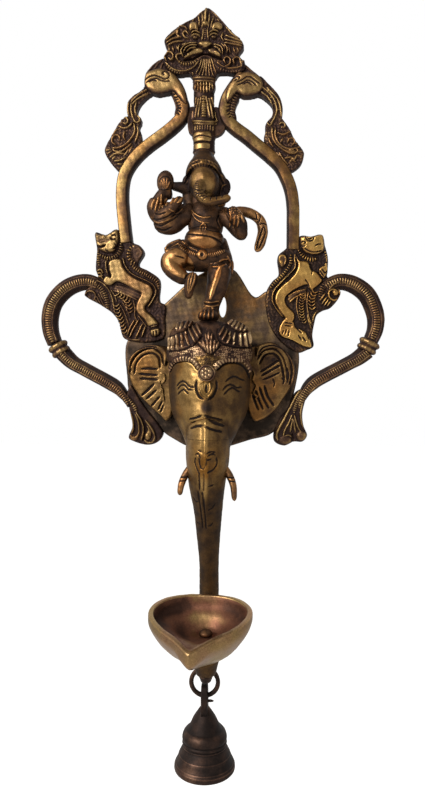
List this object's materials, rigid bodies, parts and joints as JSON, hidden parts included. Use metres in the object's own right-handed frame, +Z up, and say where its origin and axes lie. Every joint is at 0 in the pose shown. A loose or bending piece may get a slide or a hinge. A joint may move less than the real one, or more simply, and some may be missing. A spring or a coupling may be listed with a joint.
{
  "type": "hanging oil lamp",
  "caption": "Cast brass wall-hung oil lamp: pierced frame with dancing figure, elephant head whose trunk carries a leaf-shaped bowl, and a bell hung on a ring below.",
  "frame": {"origin": "middle of the back plate's rear face, which lies on the wall", "axes": "+X to the viewer's right, +Z up, +Y into the wall; the lamp stands out from the wall towards -Y"},
  "size_m": [0.2159, 0.0954, 0.4536],
  "materials": {
    "gold_brass": "aged cast brass, polished on the high spots and dark in the recesses",
    "copper_brass": "reddish aged brass with dark recesses",
    "dark_brass": "dark oxidised brass, rubbed bright at the edges",
    "steel_fittings": "plain steel"
  },
  "bodies": {
    "root": {"back_plate": "gold_brass", "crest": "gold_brass", "hanger_plate": "steel_fittings", "lower_hanger_rivet": "steel_fittings", "upper_hanger_rivet": "steel_fittings", "centre_staff": "gold_brass", "left_bird_head": "gold_brass", "right_bird_head": "gold_brass", "left_arch_band": "gold_brass", "right_arch_band": "gold_brass", "left_leaf_drop": "gold_brass", "right_leaf_drop": "gold_brass", "left_lion": "gold_brass", "right_lion": "gold_brass", "left_loop": "gold_brass", "right_loop": "gold_brass", "left_loop_collar": "gold_brass", "right_loop_collar": "gold_brass", "left_loop_arm": "gold_brass", "right_loop_arm": "gold_brass", "left_leaf_foot": "gold_brass", "right_leaf_foot": "gold_brass", "figure_crown": "copper_brass", "figure_head": "copper_brass", "figure_trunk": "copper_brass", "figure_torso": "copper_brass", "figure_belt": "copper_brass", "figure_skirt": "copper_brass", "figure_raised_leg": "copper_brass", "figure_standing_leg": "copper_brass", "figure_upper_left_arm": "copper_brass", "figure_lower_left_arm": "copper_brass", "figure_flower": "copper_brass", "figure_right_arm": "copper_brass", "figure_sash": "copper_brass", "elephant_head": "gold_brass", "upper_head_screw": "steel_fittings", "lower_head_screw": "steel_fittings", "headdress": "gold_brass", "forehead_jewel": "gold_brass", "drop_jewel": "gold_brass", "left_ear": "gold_brass", "right_ear": "gold_brass", "trunk": "gold_brass", "left_tusk": "gold_brass", "right_tusk": "gold_brass", "oil_bowl": "copper_brass", "bowl_bolt": "copper_brass", "bowl_nut": "dark_brass", "ring_lug": "dark_brass"},
    "ring": {"ring": "dark_brass"},
    "bell": {"bell": "dark_brass", "clapper_staple": "dark_brass"},
    "clapper": {"clapper": "dark_brass"}
  },
  "joints": [
    {"name": "ring_swing", "type": "hinge", "parent": "root", "child": "ring", "pos_m": [0.0002, -0.04, -0.15235], "axis": [1, 0, 0], "range_deg": [-35, 24]},
    {"name": "bell_swing", "type": "hinge", "parent": "ring", "child": "bell", "pos_m": [0.0002, -0.04, -0.16], "axis": [0, 1, 0], "range_deg": [-30, 30]},
    {"name": "clapper_swing", "type": "hinge", "parent": "bell", "child": "clapper", "pos_m": [0.0002, -0.04, -0.18525], "axis": [1, 0, 0], "range_deg": [-26, 26]}
  ]
}
